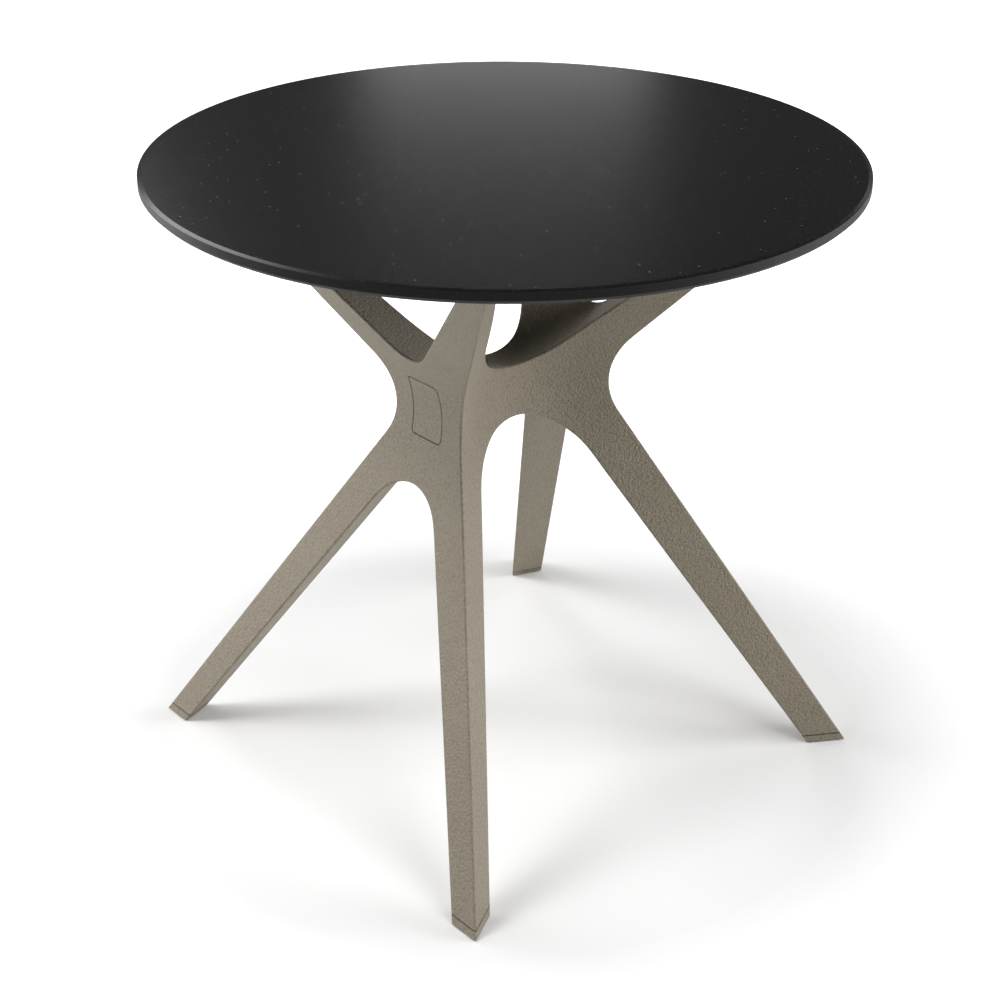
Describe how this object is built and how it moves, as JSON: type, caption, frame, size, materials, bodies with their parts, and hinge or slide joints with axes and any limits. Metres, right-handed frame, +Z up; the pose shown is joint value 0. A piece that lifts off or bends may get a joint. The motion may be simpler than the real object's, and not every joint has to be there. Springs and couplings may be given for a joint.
{
  "type": "round cafe table",
  "caption": "Round cafe table with a thin dark disc top on a moulded taupe base whose legs splay down and whose arms splay up from a waisted hub.",
  "frame": {"origin": "on the floor, under the middle of the round top", "axes": "+Z up; the base's two flat X-shaped faces look along -Y and +Y, its two scooped sides along -X and +X"},
  "size_m": [0.7999, 0.8, 0.74],
  "materials": {
    "top_laminate": "satin compact laminate with fine light speckles",
    "base_plastic": "fine leather grain, matt, moulded in",
    "pad_rubber": "matt black rubber",
    "bracket_steel": "black powder coat",
    "screw_steel": "zinc-plated steel",
    "insert_brass": "plain brass"
  },
  "bodies": {
    "root": {"table_top": "top_laminate", "base_moulding": "base_plastic", "cover_plate_front": "base_plastic", "cover_plate_rear": "base_plastic", "foot_cap_front_right": "base_plastic", "foot_pad_front_right": "pad_rubber", "top_bracket_front_right": "bracket_steel", "foot_cap_front_left": "base_plastic", "foot_pad_front_left": "pad_rubber", "top_bracket_front_left": "bracket_steel", "foot_cap_rear_left": "base_plastic", "foot_pad_rear_left": "pad_rubber", "top_bracket_rear_left": "bracket_steel", "foot_cap_rear_right": "base_plastic", "foot_pad_rear_right": "pad_rubber", "top_bracket_rear_right": "bracket_steel", "bracket_screws": "screw_steel", "top_screws": "screw_steel", "arm_inserts": "insert_brass", "top_inserts": "insert_brass"}
  },
  "joints": []
}
